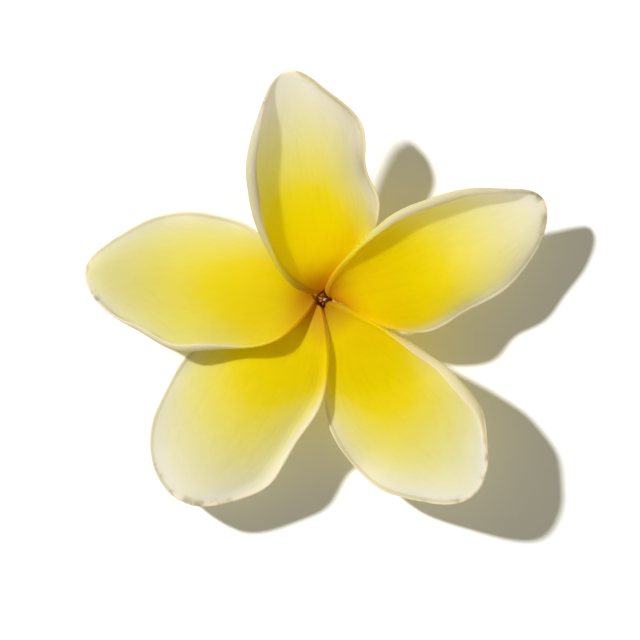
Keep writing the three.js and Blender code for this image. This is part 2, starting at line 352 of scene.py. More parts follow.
@dataclass(frozen=True)
class PetalSkin:
    """Skin of a living plumeria petal: a waxy cuticle over spongy cells full of yellow carotenoids.

    The wax gives a wide soft sheen, and the flesh lets light spread and come through. The yellow
    fills a tongue-shaped core and fades to cream at the rims and the tip. Places along the petal are
    fractions of its length, and places beside its rim are millimetres.
    """

    cell: float = 0.25  # of the skin's cells, mm; real ones, 0.03 mm, are too fine to show
    cell_dome: float = -0.35  # share of the relief that the cells take
    vein_furrow: float = 1.2  # and the veins
    relief: float = 0.03  # its depth, mm
    relief_strength: float = 0.35
    streak: float = 0.1  # how far the colour wanders along the veins
    streaks_along: float = 5.0
    streaks_across: float = 26.0
    cloud: float = 8.0  # size of its slow changes, mm
    cloud_band: tuple = (0.3, 0.7)  # of the noise, from a smoother to a rougher skin
    roughness: tuple = (0.52, 0.66)
    sheen: float = 0.12  # specular level of the wax
    wax: float = 1.42  # its index of refraction
    stops: tuple = (
        (0.0, "#f0de00"),
        (0.36, "#eee000"),
        (0.45, "#eee028"),
        (0.53, "#ebe36a"),
        (0.62, "#e7e393"),
        (0.74, "#e4e2c0"),
        (0.86, "#e2e1da"),
        (1.0, "#e0e0e0"),
    )
    reach: float = 2.3  # of the stops, in lengths of the core
    pale_from: tuple = (0.2, 0.42)  # along, where the rims turn from yellow to cream
    margin: str = "#e4e3d8"  # cream of the blade near its rims
    margin_band: tuple = (0.8, 1.06)  # across, in half widths
    margin_share: float = 0.9
    back: str = "#e9e6d2"  # the back of the petal has little yellow
    back_from: tuple = (0.22, 0.44)  # along
    back_share: float = 0.9
    blush: str = "#ece4d4"  # pink-cream of the rim itself
    blush_reach: float = 1.1
    blush_share: float = 0.8
    lip_shade: str = "#b4b27e"  # painted shade: a grey-green line inside the under rim, where the upturned lip faces away from the key light
    lip_shade_start: tuple = (0.1, 0.45)
    lip_shade_end: tuple = (0.5, 1.0)
    lip_shade_side: tuple = (-0.5, -0.7)  # across, in half widths
    lip_shade_share: float = 0.4
    scar: str = "#a8a78c"  # dull grey-green blotches on the rim near the tip
    scar_size: float = 2.2
    scar_cover: tuple = (0.5, 0.68)  # of the noise that spots them
    scar_from: tuple = (0.8, 0.97)  # along
    scar_reach: tuple = (0.2, 1.6)
    scar_share: float = 0.75
    vein: str = "#cbb45a"  # a shade deeper than the flesh between the veins
    vein_share: float = 0.04
    throat: str = "#d0a218"  # brown-orange at the foot
    throat_reach: float = 0.17  # along
    throat_wander: float = 0.25
    through: float = 0.72  # share of the light that comes through the blade
    warmth: tuple = (1.0, 0.985, 0.97)  # tint of that light

    def material(self) -> Material:
        """Builds the material.

        Returns:
            A material that reads the petal's own marks: along, side, edge, face, vein, heart and the mark
            of painted light and shade.
        """
        skin, tree = new_material("waxy plumeria petal")
        marks = ("along", "side", "edge", "face", "vein", "heart", "tone")
        along, side, edge, face, vein, heart, tone = (reading(tree, name) for name in marks)
        place = put(tree, "ShaderNodeTexCoord").outputs["Object"]
        # Streaks run with the veins, clouds drift over the whole blade.
        run = [times(tree, along, self.streaks_along), times(tree, side, self.streaks_across), 0.0]
        streaks = noise(tree, put(tree, "ShaderNodeCombineXYZ", run), 1.0, 3.0)
        clouds = noise(tree, place, 1 / (self.cloud * MM))
        centred = maths(tree, "SUBTRACT", maths(tree, "ADD", streaks, clouds), 1.0)
        wander = times(tree, centred, self.streak)
        # The yellow core fades with the distance from the heart, 1 at its outline.
        share = maths(tree, "DIVIDE", maths(tree, "ADD", heart, wander), self.reach)
        flesh = put(tree, "ShaderNodeValToRGB", [share], stops=self.stops)
        # Cream margins.
        begins = eased(tree, along, *self.pale_from)
        paling = eased(tree, maths(tree, "ABSOLUTE", side), *self.margin_band, 0.0, self.margin_share)
        front = blend(tree, times(tree, paling, begins), flesh, self.margin)
        # The back is paler all over, with a yellow flush at its foot.
        behind = blend(tree, eased(tree, along, *self.back_from, 0.0, self.back_share), front, self.back)
        faced = blend(tree, face, behind, front)
        rim = eased(tree, edge, 0.0, self.blush_reach, self.blush_share, 0.0)
        rimmed = blend(tree, times(tree, rim, begins), faced, self.blush)
        # Painted shade of the lip: it starts and ends beside the rim, on the under side only.
        starts = eased(tree, edge, *self.lip_shade_start, 0.0, self.lip_shade_share)
        ends = eased(tree, edge, *self.lip_shade_end, 1.0, 0.0)
        lip_shade_mask = times(tree, starts, ends, eased(tree, side, *self.lip_shade_side), begins)
        lip_shaded = blend(tree, lip_shade_mask, rimmed, self.lip_shade)
        # Scars.
        spots = eased(tree, noise(tree, place, 1 / (self.scar_size * MM), 3.0), *self.scar_cover)
        tipward = eased(tree, along, *self.scar_from, 0.0, self.scar_share)
        beside = eased(tree, edge, *self.scar_reach, 1.0, 0.0)
        worn = blend(tree, times(tree, spots, tipward, beside), lip_shaded, self.scar)
        lined = blend(tree, times(tree, vein, self.vein_share), worn, self.vein, "MULTIPLY")
        # Brown-orange foot round the throat.
        foot = maths(tree, "ADD", along, times(tree, wander, self.throat_wander))
        browned = blend(tree, eased(tree, foot, 0.0, self.throat_reach, 1.0, 0.0), lined, self.throat)
        # Painted light and shade: the colour is scaled by each place's painted brightness.
        painted_light_colour = put(tree, "ShaderNodeVectorMath", {0: browned, "Scale": tone}, operation="SCALE")
        # Domed cells and shallow veins catch the light.
        cells = put(tree, "ShaderNodeTexVoronoi", {"Vector": place, "Scale": 1 / (self.cell * MM)})
        domes = times(tree, cells.outputs["Distance"], self.cell_dome)
        relief = maths(tree, "SUBTRACT", domes, times(tree, vein, self.vein_furrow))
        bump = bumped(tree, self.relief_strength, self.relief, relief)
        matt = put(tree, "ShaderNodeMapRange", [clouds, *self.cloud_band, *self.roughness])
        wax = {"Roughness": matt, "IOR": self.wax, "Specular IOR Level": self.sheen}
        body = put(tree, "ShaderNodeBsdfPrincipled", {"Base Color": painted_light_colour, **wax, "Normal": bump})
        # What comes through the flesh is warmer than what the skin sends back.
        warmed = put(tree, "ShaderNodeVectorMath", [painted_light_colour, self.warmth], operation="MULTIPLY")
        glow = put(tree, "ShaderNodeBsdfTranslucent", {"Color": warmed, "Normal": bump})
        thin = put(tree, "ShaderNodeMixShader", [self.through, body, glow])
        put(tree, "ShaderNodeOutputMaterial", [thin])
        return skin


@dataclass(frozen=True)
class TubeSkin:
    """Skin of the corolla tube: smooth pale green-yellow outside, brown-orange and matt inside, with a
    painted glow deep in the bore.

    Depths are millimetres below the throat.
    """

    outside: str = "#dfe0ae"
    green: str = "#b9c283"  # of the fine stripes
    green_share: float = 0.35
    stripe: float = 0.5  # spacing of the stripes, mm
    stripe_stretch: float = 0.25
    stripe_band: tuple = (0.45, 0.7)  # of the noise that draws them
    shoulder: str = "#e0b436"  # under the petals
    shoulder_depths: tuple = (0.5, 3.5)
    end: str = "#c9b98a"  # where the tube tore off
    end_depths: tuple = (9.0, 10.2)
    end_share: float = 0.8
    inside: str = "#a8781c"
    # painted light: deeper in the bore the colour turns lighter, in place of light that comes through the
    # wall
    painted_glow: str = "#d89c48"
    painted_glow_depths: tuple = (1.0, 2.2)
    grain: float = 0.3  # mm
    grain_depth: float = 0.04  # mm
    flesh_depth: float = 0.6  # how deep light goes, mm

    def material(self) -> Material:
        """Builds the material.

        Returns:
            A material that reads the tube's own marks: depth, wall and turn.
        """
        skin, tree = new_material("plumeria corolla tube")
        depth, wall, turn = (reading(tree, name) for name in ("depth", "wall", "turn"))
        place = put(tree, "ShaderNodeTexCoord").outputs["Object"]
        round_tube = 12.0  # mm, the way round the wall
        run = [times(tree, turn, round_tube / self.stripe), times(tree, depth, self.stripe_stretch), 0.0]
        stripes = noise(tree, put(tree, "ShaderNodeCombineXYZ", run), 1.0)
        green = put(tree, "ShaderNodeMapRange", [stripes, *self.stripe_band, 0.0, self.green_share])
        plain = blend(tree, green, self.outside, self.green)
        high = eased(tree, depth, *self.shoulder_depths, 1.0, 0.0)
        low = eased(tree, depth, *self.end_depths, 0.0, self.end_share)
        outer = blend(tree, low, blend(tree, high, plain, self.shoulder), self.end)
        # Painted light: the bore's colour turns lighter with depth.
        inner = blend(tree, eased(tree, depth, *self.painted_glow_depths), self.inside, self.painted_glow)
        grain = noise(tree, place, 1 / (self.grain * MM))
        flesh = {
            "Base Color": blend(tree, wall, inner, outer),
            "Roughness": 0.5,
            "Specular IOR Level": 0.3,
            "Subsurface Weight": 0.3,
            "Subsurface Radius": (1.0, 0.8, 0.3),
            "Subsurface Scale": self.flesh_depth * MM,
            "Normal": bumped(tree, 0.3, self.grain_depth, grain),
        }
        put(tree, "ShaderNodeOutputMaterial", [put(tree, "ShaderNodeBsdfPrincipled", flesh)])
        return skin


@dataclass(frozen=True)
class DustyFlesh:
    """Dry matt flesh of an anther, with a fine grain."""

    name: str
    colour: str
    shade: str
    grain: float  # mm
    grain_depth: float = 0.02  # mm
    grain_band: tuple = (0.35, 0.65)  # of the noise, from colour to shade
    roughness: float = 0.75

    def material(self) -> Material:
        """Builds the material, its two colours mixed by the grain.

        Returns:
            The material.
        """
        skin, tree = new_material(self.name)
        place = put(tree, "ShaderNodeTexCoord").outputs["Object"]
        grain = noise(tree, place, 1 / (self.grain * MM))
        mixing = put(tree, "ShaderNodeMapRange", [grain, *self.grain_band])
        flesh = {
            "Base Color": blend(tree, mixing, self.colour, self.shade),
            "Roughness": self.roughness,
            "Specular IOR Level": 0.25,
            "Normal": bumped(tree, 0.4, self.grain_depth, grain),
        }
        put(tree, "ShaderNodeOutputMaterial", [put(tree, "ShaderNodeBsdfPrincipled", flesh)])
        return skin


@dataclass(frozen=True)
class ThroatHair:
    """Fine hair of the throat: brown at its foot, with a painted highlight at its tip, paler where the tip
    catches the key light.
    """

    name: str
    foot: str
    tip: str
    turning: float = 0.6  # fraction of its length where the painted highlight starts
    paling: float = 0.2  # fraction over which it pales into the painted highlight

    def material(self) -> Material:
        """Builds the material.

        Returns:
            A material that reads the hair's own mark: rise.
        """
        skin, tree = new_material(self.name)
        tip_highlight = eased(tree, reading(tree, "rise"), self.turning, self.turning + self.paling)
        hair = {
            "Base Color": blend(tree, tip_highlight, self.foot, self.tip),
            "Roughness": 0.7,
            "Specular IOR Level": 0.2,
        }
        put(tree, "ShaderNodeOutputMaterial", [put(tree, "ShaderNodeBsdfPrincipled", hair)])
        return skin


# ---- Petals ----


@dataclass(frozen=True)
class Throat:
    """The ring that the petals rise from, and how it leans. Millimetres and degrees."""

    radius: float = 1.55
    lean: float = 16.0
    heading: float = -14.0

    def rise(self, heading: float) -> float:
        """Slope that the lean adds to what leaves the ring in a direction."""
        return self.lean * math.cos((heading - self.heading) * DEGREE)

    def ring(self, heading: float) -> np.ndarray:
        """Place on the ring in a direction."""
        height = math.tan(self.lean * DEGREE) * math.cos((heading - self.heading) * DEGREE)
        return self.radius * np.array([math.cos(heading * DEGREE), math.sin(heading * DEGREE), height])


@dataclass(frozen=True)
class PetalRule:
    """What all petals share. Millimetres and degrees."""

    blade: float = 0.6  # thickness of the solid
    base_rise: float = 62.0  # slope at the throat
    base_fade: float = 3.2  # length over which it levels out
    base_twist: float = 40.0
    twist_fade: float = 3.2
    base_wrap: float = 40.0  # how the over side wraps the throat
    under_wrap: float = 2.0
    base_half_width: float = 0.72
    stations: tuple = (0, 0.13, 0.33, 0.53, 0.73, 0.9, 1)  # of the half widths, along
    tip_width: float = 0.8  # in shares of the last half width
    tip_fullness: float = 8.0
    tip_end: float = 0.9995
    swell_bias: float = 1.15
    swell_fullness: float = 0.7
    roll_start: float = 0.62
    roll_rise: float = 0.12
    roll_ease: float = 1.5
    drop_sharpness: float = 3.0
    lip_sharpness: float = 8.0
    ripple: float = 9.0
    ripple_waves: float = 3.5
    rim_closeness: float = 1.7
    midrib_steps: int = 20
    arc_steps: int = 8
    solid_rows: int = 32
    solid_columns: int = 10


def smooth_step(share: np.ndarray) -> np.ndarray:
    """Eases shares between 0 and 1 and holds them at both ends."""
    t = np.clip(share, 0, 1)
    return t * t * (3 - 2 * t)


@dataclass(frozen=True)
class Core:
    """Yellow core of a petal, in shares of the petal's length and of its half widths."""

    length: float
    lean: float  # of its middle line towards the over side
    over: float
    under: float
    over_flare: float  # how much wider it is at the throat
    under_flare: float
    spread: float = 1.0  # of the fading beyond its outline; low keeps the petal yellow to its tip
    flare_end: float = 0.45
    shape: float = 2.4  # higher squares its outline
    lean_end: float = 0.3  # where its middle line has leaned over
    blunt: float = 0.02  # rounds the ridge at its middle line

    def distance(self, u: np.ndarray, v: np.ndarray) -> np.ndarray:
        """Distance of each place from the heart of the flower.

        Args:
            u: Fraction of the length of each place.
            v: Fraction across, -1 at the under rim and 1 at the over rim.

        Returns:
            Distances, 1 at the outline of the core.
        """
        offset = v - self.lean * np.minimum(u / self.lean_end, 1)
        flaring = 1 - smooth_step(u / self.flare_end)
        over = (self.over - self.lean) * (1 + self.over_flare * flaring)
        under = (self.under + self.lean) * (1 + self.under_flare * flaring)
        across = np.sqrt(np.where(offset > 0, offset / over, -offset / under) ** 2 + self.blunt)
        distance = ((u / self.length) ** self.shape + across**self.shape) ** (1 / self.shape)
        return np.where(distance > 1, 1 + (distance - 1) * self.spread, distance)


@dataclass(frozen=True)
class PaintedLight:
    """Painted light and shade of a petal: factors of the common colour that stand in for how the key light
    falls on its parts.
    """

    along: tuple[float, float, float, float]  # painted brightness at the stations, for how each petal faces the key light
    under: float  # painted light that the under side gains towards its rim, where it curves away from the key light
    rim: float  # brightness painted on the rolled rim of the over side, which the key light strikes; below 0 it is painted shade
    furrow: float = 0.0  # painted shade in the furrow inside the under rim
    stations: tuple = (0.0, 0.15, 0.5, 1.0)
    rim_start: float = 0.68
    rim_end: float = 0.85
    furrow_place: float = -0.93
    furrow_width: float = 0.1

    def at(self, u: np.ndarray, v: np.ndarray) -> np.ndarray:
        """Painted brightness at each place.

        Args:
            u: Fraction of the length of each place.
            v: Fraction across, -1 at the under rim and 1 at the over rim.

        Returns:
            Factors of the colour.
        """
        rolled = smooth_step((v - self.rim_start) / (self.rim_end - self.rim_start))
        furrow_shade_mask = np.exp(-(((v - self.furrow_place) / self.furrow_width) ** 2))
        furrow_shade_mask = furrow_shade_mask * np.clip(5 * u - 1, 0, 1)  # none in the first fifth of the length
        # Painted light on the under side and the rolled rim, painted shade in the furrow.
        across = 1 + self.under * np.clip(-v, 0, 1) + self.rim * rolled - self.furrow * furrow_shade_mask
        return np.interp(u, self.stations, self.along) * across


@dataclass(frozen=True)
class PetalForm:
    """What sets one petal apart. Millimetres and degrees."""

    name: str
    heading: float  # from +X, anticlockwise
    bend: float  # of the midrib sideways
    length: float
    slope: float  # of the midrib, upwards
    tip_slope: float
    twist: float
    tip_twist: float
    over: tuple  # half widths at the rule's inner stations, over side
    under: tuple  # under side
    over_cup: float  # rise of the cross-section towards the over rim
    over_roll: float  # how far the over rim rolls in
    under_cup: float
    under_drop: float  # how the under rim turns down
    under_lip: float  # and lifts again at its edge
    core: Core
    # painted light and shade laid into the petal's colour
    tone: PaintedLight
    foot: float = 0.56  # thickness of the fleshy foot


# In each form the brightness factors after the core are painted light and shade, for how the key light
# falls on that petal.
FORMS = (
    PetalForm(
        "petal_top", 97, 3, 36.1, 7, 11, 11, 5,
        (7.1, 11, 12.3, 10.4, 7.1), (9, 12.4, 11.2, 11.5, 7.2), 14, 215, -32, 40, 60,
        Core(0.46, 0.0, 0.86, 0.5, 0.0, 0.5), PaintedLight((1.25, 1.07, 1.01, 1.06), 0.24, -0.18, 0.18), 0.9,
    ),
    PetalForm(
        "petal_right", 22, 3, 38.8, -10, -7, 11, 8,
        (5, 9.6, 10.6, 9.2, 6.1), (6.8, 11.8, 11.5, 10.8, 8.6), 7, 240, -10, 50, 60,
        Core(0.48, -0.35, 0.75, 0.92, 0.0, 0.5), PaintedLight((1.15, 1.05, 1.12, 1.11), 0.08, -0.15, 0.2), 0.9,
    ),
    PetalForm(
        "petal_lower_right", -54, 3, 39.8, -17, 33, 13, 6,
        (3.9, 9, 12.3, 12.9, 9.8), (3, 9.9, 12.4, 11.8, 8.2), 5, 210, 0, 10, -8,
        Core(0.51, 0.0, 0.62, 0.62, 1.5, 1.5), PaintedLight((0.78, 1.03, 1.13, 0.97), 0.02, 0.0), 0.9,
    ),
    PetalForm(
        "petal_lower_left", -126, 3, 39.1, -18.4, 21, 2, 11,
        (5.9, 9.9, 10.2, 11, 8.5), (4.8, 11.7, 13.4, 13.6, 12.4), -9, 60, -38, 0, 40,
        Core(0.47, 0.0, 0.65, 0.68, 1.2, 1.2, 0.9), PaintedLight((1.02, 1.01, 1.03, 1.01), -0.1, 0.02), 0.8,
    ),
    PetalForm(
        "petal_left", 173, 0, 38.4, -18.8, -6, 3, 4,
        (8.5, 11.3, 13.3, 10.8, 8.1), (5, 10.6, 12, 11.3, 8), 5, 165, -32, 0, 45,
        Core(0.44, 0.0, 0.5, 0.44, 1.0, 0.7, 0.55), PaintedLight((1.1, 0.91, 0.97, 0.95), 0.04, 0.0),
    ),
)


def smooth_curve(stations: tuple, values: list[float], at: np.ndarray) -> np.ndarray:
    """Values of the smooth curve through given points.

    Args:
        stations: Places of the points.
        values: Values there.
        at: Places asked for.

    Returns:
        The value at each place.
    """
    x = np.array(stations, float)
    y = np.array(values, float)
    last = len(x) - 1
    before = np.maximum(np.arange(last + 1) - 1, 0)
    after = np.minimum(np.arange(last + 1) + 1, last)
    tangent = (y[after] - y[before]) / (x[after] - x[before])
    k = np.clip(np.searchsorted(x, at, side="left") - 1, 0, last - 1)
    span = x[k + 1] - x[k]
    t = (at - x[k]) / span
    pull = (2 * t**3 - 3 * t**2 + 1) * y[k] + (3 * t**2 - 2 * t**3) * y[k + 1]
    lead = (t**3 - 2 * t**2 + t) * span * tangent[k] + (t**3 - t**2) * span * tangent[k + 1]
    return pull + lead


def vertex_normals(rows: np.ndarray) -> np.ndarray:
    """Normals of a grid of points from the neighbours of each, upwards for a petal.

    Args:
        rows: Points by row and column.

    Returns:
        A unit normal for each point.
    """
    along = np.concatenate([rows[1:], rows[-1:]]) - np.concatenate([rows[:1], rows[:-1]])
    ahead = np.concatenate([rows[:, 1:], rows[:, -1:]], 1)
    across = ahead - np.concatenate([rows[:, :1], rows[:, :-1]], 1)
    normal = np.cross(along, across)
    return normal / np.linalg.norm(normal, axis=2, keepdims=True)


@dataclass
class Petal:
    """One petal: a thin waxy blade whose midrib leaves the throat and whose sides curl at their rims."""

    form: PetalForm
    rule: PetalRule
    throat: Throat
    rows: int = 190
    columns: int = 46  # on each side of the midrib
    rim_closeness: float = 1.8  # of the fine grid
    tip_end: float = 0.99985

    def swell(self, u: np.ndarray) -> np.ndarray:
        """How fully the rims roll at each fraction of the length."""
        return np.sin(math.pi * u**self.rule.swell_bias) ** self.rule.swell_fullness

    def half_width(self, side: Side, u: np.ndarray) -> np.ndarray:
        """Half width of one side at each fraction of the length.

        Args:
            side: Which half of the petal.
            u: Fractions of the length.

        Returns:
            Half widths in millimetres.
        """
        widths = self.form.over if side is Side.OVER else self.form.under
        values = [self.rule.base_half_width, *widths, self.rule.tip_width * widths[-1]]
        return smooth_curve(self.rule.stations, values, u) * np.sqrt(1 - u**self.rule.tip_fullness)

    def side_angle(self, side: Side, u: np.ndarray, q: float) -> np.ndarray:
        """Rise of one side of the cross-sections, seen from the midrib.

        Args:
            side: Which half of the petal.
            u: Fractions of the length.
            q: Fraction of the half width.

        Returns:
            Angles in radians.
        """
        form, rule = self.form, self.rule
        fade = np.exp(-u * form.length / rule.twist_fade)
        swell = self.swell(u)
        wrap = rule.base_wrap if side is Side.OVER else rule.under_wrap
        twist = form.twist + (form.tip_twist - form.twist) * u**2 + (rule.base_twist - form.twist) * fade
        phase = (form.heading + 90 * side.value) * DEGREE
        ripple = rule.ripple * swell * np.sin(2 * math.pi * rule.ripple_waves * u + phase) * q**4
        common = side.value * twist + wrap * fade * q + ripple
        if side is Side.OVER:
            start = rule.roll_start + rule.roll_rise * (1 - u)
            rolled = (np.maximum(q - start, 0) / (1 - start)) ** rule.roll_ease
            return (common + form.over_cup * q + form.over_roll * swell * rolled) * DEGREE
        drop = form.under_drop * swell * q**rule.drop_sharpness
        lip = (form.under_drop + form.under_lip) * swell * q**rule.lip_sharpness
        return (common + form.under_cup * q - drop + lip) * DEGREE

    def direction(self, u: np.ndarray) -> np.ndarray:
        """Direction of the midrib.

        Args:
            u: Fractions of the length.

        Returns:
            A unit vector at each.
        """
        form, rule = self.form, self.rule
        fade = np.exp(-u * form.length / rule.base_fade)
        start = rule.base_rise + self.throat.rise(form.heading)
        slope = form.slope + (start - form.slope) * fade + (form.tip_slope - form.slope) * u**3
        slope = slope * DEGREE
        heading = (form.heading + form.bend * u) * DEGREE
        level = np.cos(slope)
        return np.stack([level * np.cos(heading), level * np.sin(heading), np.sin(slope)], -1)

    def surface(
        self, rows: int, columns: int, closeness: float, end: float
    ) -> tuple[np.ndarray, np.ndarray, np.ndarray]:
        """Middle surface of the blade.

        Args:
            rows: Steps from the throat to the tip.
            columns: Steps from the midrib to a rim.
            closeness: Higher sets the steps across closer together at the rims.
            end: Fraction of the length where the last row lies.

        Returns:
            Points in millimetres from the middle of the throat, by row and column; the fraction of the
            length of each row; and the fraction across of each column, -1 at the under rim and 1 at the
            over rim.
        """
        t = np.linspace(0, 1, rows + 1)
        u = end * ((1 - np.cos(math.pi * t)) / 2 + np.sin(math.pi / 2 * t)) / 2
        q = 1 - (1 - np.linspace(0, 1, columns + 1)) ** closeness
        place = self.throat.ring(self.form.heading)
        midrib = [place]
        for low, high in zip(u[:-1], u[1:]):
            step = (high - low) / self.rule.midrib_steps
            middles = low + step * (np.arange(self.rule.midrib_steps) + 0.5)
            place = place + self.direction(middles).sum(0) * step * self.form.length
            midrib.append(place)
        midrib = np.array(midrib)
        tangent = self.direction(u)
        across = np.cross([0.0, 0.0, 1.0], tangent)
        across /= np.linalg.norm(across, axis=1, keepdims=True)
        up = np.cross(tangent, across)
        halves = {}
        for side in Side:
            width = self.half_width(side, u)[:, None]
            points = [midrib]
            place = midrib.copy()
            for low, high in zip(q[:-1], q[1:]):
                step = (high - low) / self.rule.arc_steps
                for k in range(self.rule.arc_steps):
                    angle = self.side_angle(side, u, low + step * (k + 0.5))[:, None]
                    aim = side.value * across * np.cos(angle) + up * np.sin(angle)
                    place = place + aim * step * width
                points.append(place)
            halves[side] = np.stack(points, 1)
        grid = np.concatenate([halves[Side.UNDER][:, :0:-1], halves[Side.OVER]], 1)
        return grid, u, np.concatenate([-q[:0:-1], q])

    def box(self) -> tuple[np.ndarray, np.ndarray]:
        """Finds the box of the petal's solid.

        Returns:
            Its lowest and highest corner from the middle of the throat, mm.
        """
        rule = self.rule
        rows, _, _ = self.surface(rule.solid_rows, rule.solid_columns, rule.rim_closeness, rule.tip_end)
        normal = vertex_normals(rows) * self.rule.blade / 2
        both = np.concatenate([rows + normal, rows - normal]).reshape(-1, 3)
        return both.min(0), both.max(0)

    def build(self, tree: Tree, skin: Material, shift: np.ndarray) -> Thing:
        """Builds the petal's fine blade.

        Args:
            tree: Blade tree.
            skin: Material.
            shift: From the middle of the throat to the frame's origin, mm.

        Returns:
            The petal's object.
        """
        grid, u, v = self.surface(self.rows, self.columns, self.rim_closeness, self.tip_end)
        high, wide = grid.shape[0], grid.shape[1]
        number = np.arange(high * wide).reshape(high, wide)
        corners = [number[:-1, :-1], number[1:, :-1], number[1:, 1:], number[:-1, 1:]]
        faces = np.stack(corners, -1).reshape(-1, 4).tolist()
        form = self.form
        petal = mesh_object(f"{form.name}_blade", (grid + shift).reshape(-1, 3) * MM, faces)
        along, side = np.repeat(u, wide), np.tile(v, high)
        mark(petal, "along", along)
        mark(petal, "side", side)
        mark(petal, "edge", self.edge_distance(grid))
        mark(petal, "heart", form.core.distance(along, side))
        # Painted light and shade, stored for the skin to lay into the colour.
        mark(petal, "tone", form.tone.at(along, side))
        sizes = {"Seed": round(form.heading) % 360, "Foot Thickness": form.foot}
        settle(petal, tree, {"Material": skin, **sizes})
        return finish_piece(petal, (form.name,))

    @staticmethod
    def edge_distance(grid: np.ndarray) -> np.ndarray:
        """Distance of each point of a grid from the outline.

        Args:
            grid: Points by row and column, mm.

        Returns:
            Distances in millimetres, in the order of the grid.
        """
        outline = np.concatenate([grid[0], grid[:, -1], grid[-1, ::-1], grid[::-1, 0]])
        flat = grid.reshape(-1, 3)
        nearest = np.full(len(flat), np.inf)
        for corner, following in zip(outline[:-1], outline[1:]):
            edge = following - corner
            length = edge @ edge
            t = np.clip((flat - corner) @ edge / length, 0, 1) if length > 1e-12 else np.zeros(len(flat))
            gap = flat - corner - t[:, None] * edge
            nearest = np.minimum(nearest, np.einsum("ij,ij->i", gap, gap))
        return np.sqrt(nearest)


